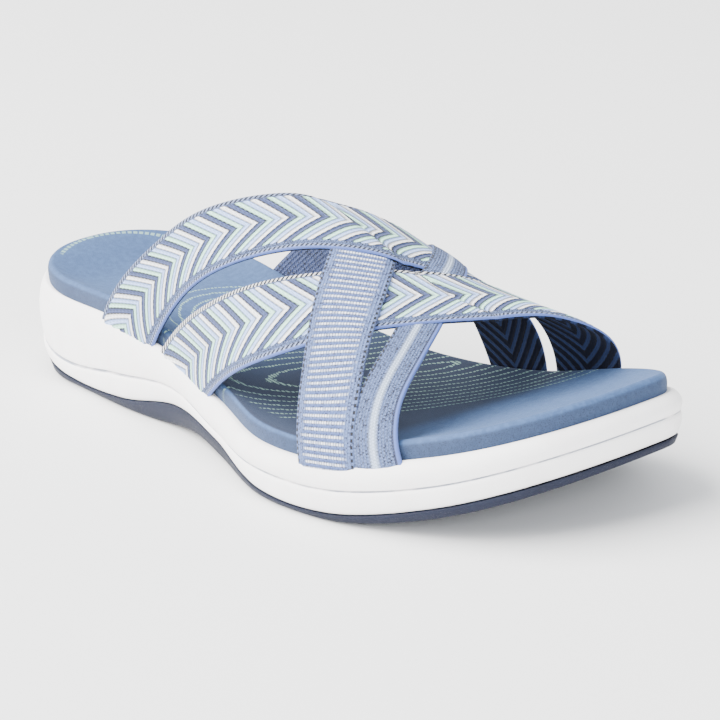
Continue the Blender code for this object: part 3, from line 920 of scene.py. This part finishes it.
def suede_material(settings):
    """Soft printed suede, brushed in patches, darker under the straps: partly its own tone,
    partly painted shade.
    """
    w = Finish("footbed suede", 0.8, 0.16, settings.nap_tint)
    place = w.coordinates()
    x, y, _ = w.split(place)
    grain = w.group("Fine grain", Place=place, Fineness=3.2)[0]
    nap = w.noise(place, 0.55, 4.0, 0.6)
    printed = suede_print(w, place, nap)
    facing = w.split(w.node("ShaderNodeNewGeometry").outputs["Normal"])[2]
    base = w.mix(w.step(nap, 0.35, 0.7), settings.suede, settings.suede_light)
    # Darker on the upward faces under the straps: partly the suede's own tone, partly painted
    # shade of the straps
    toeward = w.scaled(y, -0.16, x)
    darker_and_shaded = w.times(w.step(toeward, *DARKER_SHADED_TOE), w.step(toeward, *DARKER_SHADED_HEEL))
    darker_and_shaded = w.times(w.times(darker_and_shaded, w.step(facing, 0.75, 0.95)), 0.93)
    base = w.mix(darker_and_shaded, base, settings.suede_darker_and_shaded)
    shown = w.mix(w.times(printed, 0.8), base, settings.print_ink)
    speck = w.scaled(w.step(grain, 0.5, 0.68), 0.40, 0.60)
    shown = w.mix(w.times(w.step(facing, 0.60, 0.25), speck), shown, settings.suede_edge)
    return w.done(shown, w.add(grain, w.times(printed, 0.3)), 0.14)


def hue(name, description, *channels):
    """A colour that a user can change, from the screen's channels of 0 to 255."""
    return bpy.props.FloatVectorProperty(
        name=name, description=description, default=srgb(*channels), size=3, min=0.0, max=1.0,
        subtype="COLOR")


def length(name, description, millimetres):
    """A size that a user can change."""
    return bpy.props.FloatProperty(
        name=name, description=description, default=millimetres * MM, min=0.1 * MM, unit="LENGTH")


class SlideStrapSettings(bpy.types.PropertyGroup):
    """Colours of the straps' yarns, and the size of the ribs."""

    white: hue("White", "The chevrons' white yarn", 250, 250, 252)
    mint: hue("Mint", "The chevrons' mint yarn", 192, 246, 224)
    pale: hue("Pale blue", "The chevrons' pale blue yarn", 172, 200, 254)
    stripe: hue("Stripe", "The narrow strap's pale middle", 206, 224, 250)
    slate: hue("Slate", "The chevrons' slate yarn", 64, 80, 128)
    border: hue("Border", "The borders' light yarn", 94, 116, 164)
    roll: hue("Rolled edge", "The smooth rolled edges", 74, 96, 160)
    tick: hue("Tick", "The whipped edges' light ticks", 150, 166, 206)
    dark: hue("Dark", "The dark yarn between the rows", 26, 29, 48)
    deep: hue("Deep blue", "The ribbed strap's dark specks", 40, 44, 72)
    black: hue("Black", "The stitches and the darkest ticks", 13, 14, 23)
    lining: hue("Lining", "The straps' inner faces", 11, 15, 32)
    floats: hue("Lining floats", "The paler yarns inside", 40, 52, 84)
    rib_pitch: length("Rib pitch", "Distance between the ribs of the ribbed strap", 2.0)


class SlideSoleSettings(bpy.types.PropertyGroup):
    """Colours of the sole's layers, and the sizes of the tread."""

    foam: hue("Foam", "The midsole's foam", 254, 252, 251)
    foam_shade: hue("Foam shade", "The foam's mottling", 249, 245, 244)
    # Painted shade in the crease of the groove around the foam
    groove: hue("Groove", "The line around the foam", 168, 172, 184)
    suede: hue("Suede", "The footbed's suede", 50, 76, 116)
    suede_light: hue("Brushed suede", "The suede where its nap is lifted", 60, 88, 130)
    # The darker suede under the straps, partly its own tone and partly painted shade
    suede_darker_and_shaded: hue("Darker shaded suede", "The suede under the print", 14, 23, 45)
    suede_edge: hue("Suede edge", "The footbed's side", 28, 38, 60)
    nap_tint: hue("Nap", "The sheen of the nap", 150, 175, 215)
    print_ink: hue("Print", "The dashed contour print", 150, 186, 172)
    rubber: hue("Rubber", "The outsole's rubber", 22, 27, 46)
    rubber_shade: hue("Rubber shade", "The rubber's mottling", 18, 22, 38)
    tread_depth: length("Tread depth", "Depth of the outsole's cross grooves", 1.8)
    tread_width: length("Tread width", "Width of the outsole's cross grooves", 3.2)
    tread_pitch: length("Tread pitch", "Distance between the cross grooves", 10.5)
    tread_border: length("Tread border", "Plain rubber around the cross grooves", 8.0)


class SlideStageSettings(bpy.types.PropertyGroup):
    """Floor, lights and camera."""

    floor: hue("Floor", "The floor's colour", 234, 234, 234)
    key: bpy.props.FloatProperty(
        name="Key light", description="Power of the large light", default=205.0, min=0.0,
        unit="POWER")
    fill: bpy.props.FloatProperty(
        name="Fill light", description="Power of the light on the other side", default=30.0,
        min=0.0, unit="POWER")
    sky: bpy.props.FloatProperty(
        name="Sky", description="Strength of the light from all around", default=1.35, min=0.0)
    lens: bpy.props.FloatProperty(
        name="Lens", description="The camera's focal length", default=139.0, min=10.0,
        unit="CAMERA")


class SLIDE_OT_chevron_straps(bpy.types.Operator):
    """Make the two wide chevron straps"""

    bl_idname = "slide.chevron_straps"
    bl_label = "Chevron Straps"

    def execute(self, context):
        settings = context.scene.slide_straps

        def relief(u, v, width):
            field = ease((v - 2.0) / 0.6) * ease((width - 3.2 - v) / 0.6)
            return ROPE_RELIEF * field * (chevron_rope(u + phase, v, width) - 0.5)

        for name, phase, whip in (
                ("rear_chevron", -1.7, (settings.tick, settings.dark)),
                ("front_chevron", 1.5, (settings.white, settings.black))):
            face = chevron_material(name + " webbing", settings, phase, whip)
            back = lining_material(name + " lining", settings, phase)
            make_strap(name, CHEVRON_WEBBING, relief, [face, back])
        return {"FINISHED"}


class SLIDE_OT_ribbed_strap(bpy.types.Operator):
    """Make the ribbed strap that crosses both chevron straps"""

    bl_idname = "slide.ribbed_strap"
    bl_label = "Ribbed Strap"

    def execute(self, context):
        settings = context.scene.slide_straps
        pitch = settings.rib_pitch / MM

        def relief(u, v, width):
            field = ease((v - 1.8) / 1.0) * ease((width - 1.8 - v) / 1.0)
            return RIB_RELIEF * field * (np.abs(np.sin(np.pi * u / pitch)) - 0.5)

        face = ribbed_material("ribbed webbing", settings)
        back = plain_lining_material("ribbed lining", settings)
        make_strap("ribbed", RIBBED_WEBBING, relief, [face, back])
        return {"FINISHED"}


class SLIDE_OT_narrow_strap(bpy.types.Operator):
    """Make the narrow strap with the pale middle stripe"""

    bl_idname = "slide.narrow_strap"
    bl_label = "Narrow Strap"

    def execute(self, context):
        settings = context.scene.slide_straps

        def relief(u, v, width):
            return LOOP_RELIEF * np.sin(2 * np.pi * u / YARN_PITCH) * ease((v - 1.2) / 1.0)

        face = narrow_material("narrow webbing", settings)
        back = plain_lining_material("narrow lining", settings)
        make_strap("narrow", NARROW_WEBBING, relief, [face, back])
        return {"FINISHED"}


def between(low, high, share):
    """The height at a share of the way between two of the sole's lines, for a wall's row."""
    return lambda station: low(station) + (high(station) - low(station)) * share


def seat_height(station):
    return seam_height(station) - CLEARANCE


class SLIDE_OT_footbed(bpy.types.Operator):
    """Make the cushioned suede footbed with its printed contour lines"""

    bl_idname = "slide.footbed"
    bl_label = "Footbed"

    def execute(self, context):
        wall = [(-row.inset, lambda station, rise=row.rise * MM: rim_height(station) + rise)
                for row in FOOTBED_EDGE]

        def top(station, across, points):
            return rim_height(station) + RIM_RISE - 0.75 * dish(station, across)

        def bottom(station, across, points):
            return rim_height(station) - dish(station, across) + CLEARANCE

        finish = suede_material(context.scene.slide_sole)
        made = make_layer("footbed_cushion", wall, top, bottom, [finish],
                          steps=220, columns=64)
        return {"FINISHED"}


class SLIDE_OT_midsole(bpy.types.Operator):
    """Make the foam midsole with its grooved side"""

    bl_idname = "slide.midsole"
    bl_label = "Midsole"

    def execute(self, context):
        settings = context.scene.slide_sole
        bands = {"lower": (seam_height, groove_height), "upper": (groove_height, rim_height)}
        wall = [(row.bulge * WALL_BULGE / MM, between(*bands[row.band], row.share))
                for row in MIDSOLE_WALL]

        def top(station, across, points):
            return rim_height(station) - dish(station, across)

        def bottom(station, across, points):
            return seam_height(station) + 0 * across

        foam = foam_material("midsole foam", settings.foam, settings.foam_shade)
        # The groove's crease gets painted shade
        groove = foam_material("midsole groove", settings.groove, settings.foam_shade)
        make_layer("midsole_foam", wall, top, bottom, [foam, groove],
                   steps=260, columns=24, shade_rows=GROOVE_SHADE_ROWS)
        return {"FINISHED"}


class SLIDE_OT_outsole(bpy.types.Operator):
    """Make the rubber outsole with its cross grooves"""

    bl_idname = "slide.outsole"
    bl_label = "Outsole"

    def execute(self, context):
        settings = context.scene.slide_sole
        pitch = settings.tread_pitch / LENGTH
        grooves = []
        for first, final in ((HEEL_FLAT[0] + 0.02, HEEL_FLAT[1]), (BALL_FLAT[0], 0.88)):
            grooves += [first + k * pitch for k in range(int((final - first) / pitch) + 1)]
        wall = [(row.bulge, between(floor_height, seat_height, row.share))
                for row in OUTSOLE_EDGE]

        def top(station, across, points):
            return seat_height(station) + 0 * across

        def bottom(station, across, points):
            lateral, medial = sides(station)
            y = points[..., 1] + MIDDLE[1]
            inside = np.minimum(y - lateral, medial - y) - settings.tread_border
            depth = np.zeros_like(y)
            for place in grooves:
                off = np.abs(station - place) * LENGTH - settings.tread_width / 2
                cut = ease(0.5 - off / TREAD_ROUND) * ease(inside / MM + 0.5)
                depth = np.maximum(depth, cut)
            return floor_height(station) + settings.tread_depth * depth

        finish = rubber_material(settings)
        make_layer("outsole_rubber", wall, top, bottom, [finish],
                   steps=480, columns=36)
        return {"FINISHED"}


def photographed_camera():
    """The camera's place and axes: the fitted view, turned so the shoe is in its middle."""
    azimuth, elevation = math.radians(VIEW_AZIMUTH), math.radians(VIEW_ELEVATION)
    back = Vector((math.sin(azimuth) * math.cos(elevation),
                   -math.cos(azimuth) * math.cos(elevation), math.sin(elevation)))
    right = Vector((math.cos(azimuth), math.sin(azimuth), 0.0))
    upright = Matrix((right, back.cross(right), back))
    rolled = Matrix.Rotation(math.radians(VIEW_ROLL), 3, "Z") @ upright
    place = Vector((-MIDDLE[0], -MIDDLE[1], VIEW_HEIGHT)) + back * VIEW_DISTANCE
    ahead = Vector((0.0, 0.0, -1.0))
    seen = Vector((PHOTO_ORIGIN[0], -PHOTO_ORIGIN[1], -PHOTO_FOCAL)).normalized()
    half = PHOTO_SIZE / 2
    aim = Vector((PHOTO_AIM[0] - half, half - PHOTO_AIM[1], -PHOTO_FOCAL)).normalized()
    turned = ahead.rotation_difference(seen).to_matrix() @ rolled
    return place, aim.rotation_difference(ahead).to_matrix() @ turned


def add_light(name, light, power):
    """A square light that points at the shoe."""
    data = bpy.data.lights.new(name, "AREA")
    data.shape = "SQUARE"
    data.size = light.size
    data.energy = power
    data.color = light.tint
    made = bpy.data.objects.new(name, data)
    towards = Vector(LIT_POINT) - Vector(light.place)
    turn = towards.to_track_quat("-Z", "Y").to_matrix().to_4x4()
    made.matrix_world = Matrix.Translation(light.place) @ turn
    bpy.context.scene.collection.objects.link(made)


class SLIDE_OT_stage(bpy.types.Operator):
    """Make the floor, the lights and the camera"""

    bl_idname = "slide.stage"
    bl_label = "Stage"

    def execute(self, context):
        scene = context.scene
        settings = scene.slide_stage
        mesh = bmesh.new()
        bmesh.ops.create_grid(mesh, x_segments=8, y_segments=8, size=6.0)
        data = bpy.data.meshes.new("floor")
        mesh.to_mesh(data)
        mesh.free()
        floor = bpy.data.objects.new("floor", data)
        scene.collection.objects.link(floor)
        finish = Finish("studio floor", 0.9, specular=0.1)
        finish.feed(finish.inputs["Base Color"], settings.floor)
        data.materials.append(finish.material)

        world = bpy.data.worlds.new("studio")
        world.use_nodes = True
        sky = world.node_tree.nodes["Background"]
        sky.inputs["Color"].default_value = (*SKY_TINT, 1.0)
        sky.inputs["Strength"].default_value = settings.sky
        scene.world = world
        add_light("key", KEY_LIGHT, settings.key)
        add_light("fill", FILL_LIGHT, settings.fill)

        place, axes = photographed_camera()
        camera = bpy.data.cameras.new("camera")
        camera.lens = settings.lens
        camera.sensor_width = 36.0
        camera.clip_start = 0.05
        camera.clip_end = 20.0
        view = bpy.data.objects.new("camera", camera)
        view.matrix_world = Matrix.Translation(place) @ axes.transposed().to_4x4()
        scene.collection.objects.link(view)
        scene.camera = view
        return {"FINISHED"}


class SLIDE_PT_panel(bpy.types.Panel):
    """Lists the operators that build the slide"""

    bl_label = "Cross-Strap Slide"
    bl_idname = "SLIDE_PT_panel"
    bl_space_type = "VIEW_3D"
    bl_region_type = "UI"
    bl_category = "Slide"

    def draw(self, context):
        for made in OPERATORS:
            self.layout.operator(made.bl_idname)


OPERATORS = (
    SLIDE_OT_chevron_straps,
    SLIDE_OT_ribbed_strap,
    SLIDE_OT_narrow_strap,
    SLIDE_OT_footbed,
    SLIDE_OT_midsole,
    SLIDE_OT_outsole,
    SLIDE_OT_stage,
)
SETTINGS = (SlideStrapSettings, SlideSoleSettings, SlideStageSettings)


def register():
    for made in SETTINGS + OPERATORS + (SLIDE_PT_panel,):
        bpy.utils.register_class(made)
    bpy.types.Scene.slide_straps = bpy.props.PointerProperty(type=SlideStrapSettings)
    bpy.types.Scene.slide_sole = bpy.props.PointerProperty(type=SlideSoleSettings)
    bpy.types.Scene.slide_stage = bpy.props.PointerProperty(type=SlideStageSettings)


def unregister():
    del bpy.types.Scene.slide_stage
    del bpy.types.Scene.slide_sole
    del bpy.types.Scene.slide_straps
    for made in reversed(SETTINGS + OPERATORS + (SLIDE_PT_panel,)):
        bpy.utils.unregister_class(made)


def main():
    """Register the classes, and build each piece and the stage."""
    register()
    bpy.ops.slide.chevron_straps()
    bpy.ops.slide.ribbed_strap()
    bpy.ops.slide.narrow_strap()
    bpy.ops.slide.footbed()
    bpy.ops.slide.midsole()
    bpy.ops.slide.outsole()
    bpy.ops.slide.stage()
    bpy.context.view_layer.update()


if __name__ == "__main__":
    main()
